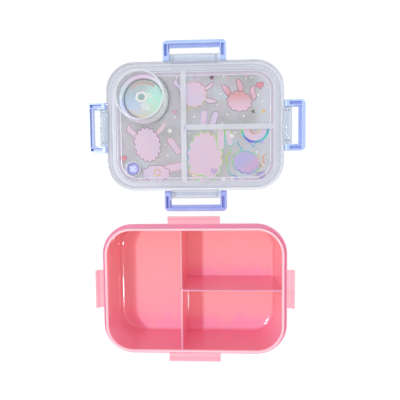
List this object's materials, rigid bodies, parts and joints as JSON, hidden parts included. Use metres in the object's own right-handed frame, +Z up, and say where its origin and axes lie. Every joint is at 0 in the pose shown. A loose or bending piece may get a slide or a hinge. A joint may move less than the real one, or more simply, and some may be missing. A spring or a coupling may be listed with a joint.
{
  "type": "lunch box",
  "caption": "Flat rectangular lunch box: divided tray, clear lid with bail latches on all sides, lift-out dip pot and vent plug.",
  "frame": {"origin": "centre of the tray's flat underside", "axes": "+Z up, +X along the box's long side to the right of a person facing its front, +Y from the front to the back, where the open lid lies"},
  "size_m": [0.2548, 0.3583, 0.057],
  "materials": {
    "pink_plastic": "glossy, tinted and slightly see-through",
    "clear_plastic": "glossy and clear",
    "holographic_film": "printed film with a holographic sheen",
    "silicone": "frosted silicone",
    "lavender_plastic": "satin",
    "violet_silicone": "matte silicone"
  },
  "bodies": {
    "tray": {"tray": "pink_plastic"},
    "lid": {"lid_cover": "clear_plastic", "lid_film": "holographic_film", "lid_liner": "clear_plastic", "lid_seal": "silicone", "dip_pot_seal": "silicone"},
    "latch_front": {"latch_front": "lavender_plastic"},
    "latch_left": {"latch_left": "lavender_plastic"},
    "latch_back": {"latch_back": "lavender_plastic"},
    "latch_right": {"latch_right": "lavender_plastic"},
    "dip_pot": {"dip_pot": "clear_plastic"},
    "vent_plug": {"vent_plug": "violet_silicone"}
  },
  "joints": [
    {"name": "lid_swing", "type": "hinge", "parent": "tray", "child": "lid", "pos_m": [0, 0.09005, 0.03145], "axis": [1, 0, 0], "range_deg": [0, 180]},
    {"name": "latch_front_hinge", "type": "hinge", "parent": "lid", "child": "latch_front", "pos_m": [0, 0.2585, 0.0039], "axis": [1, 0, 0], "range_deg": [0, 90]},
    {"name": "latch_left_hinge", "type": "hinge", "parent": "lid", "child": "latch_left", "pos_m": [-0.1068, 0.1801, 0.0039], "axis": [0, 1, 0], "range_deg": [0, 90]},
    {"name": "latch_back_hinge", "type": "hinge", "parent": "lid", "child": "latch_back", "pos_m": [0, 0.1017, 0.0039], "axis": [-1, 0, 0], "range_deg": [0, 90]},
    {"name": "latch_right_hinge", "type": "hinge", "parent": "lid", "child": "latch_right", "pos_m": [0.1068, 0.1801, 0.0039], "axis": [0, -1, 0], "range_deg": [0, 90]},
    {"name": "dip_pot_slide", "type": "slide", "parent": "lid", "child": "dip_pot", "axis": [0, 0, 1], "range_m": [0, 0.024]},
    {"name": "vent_plug_slide", "type": "slide", "parent": "lid", "child": "vent_plug", "axis": [0, 0, 1], "range_m": [0, 0.009]}
  ]
}
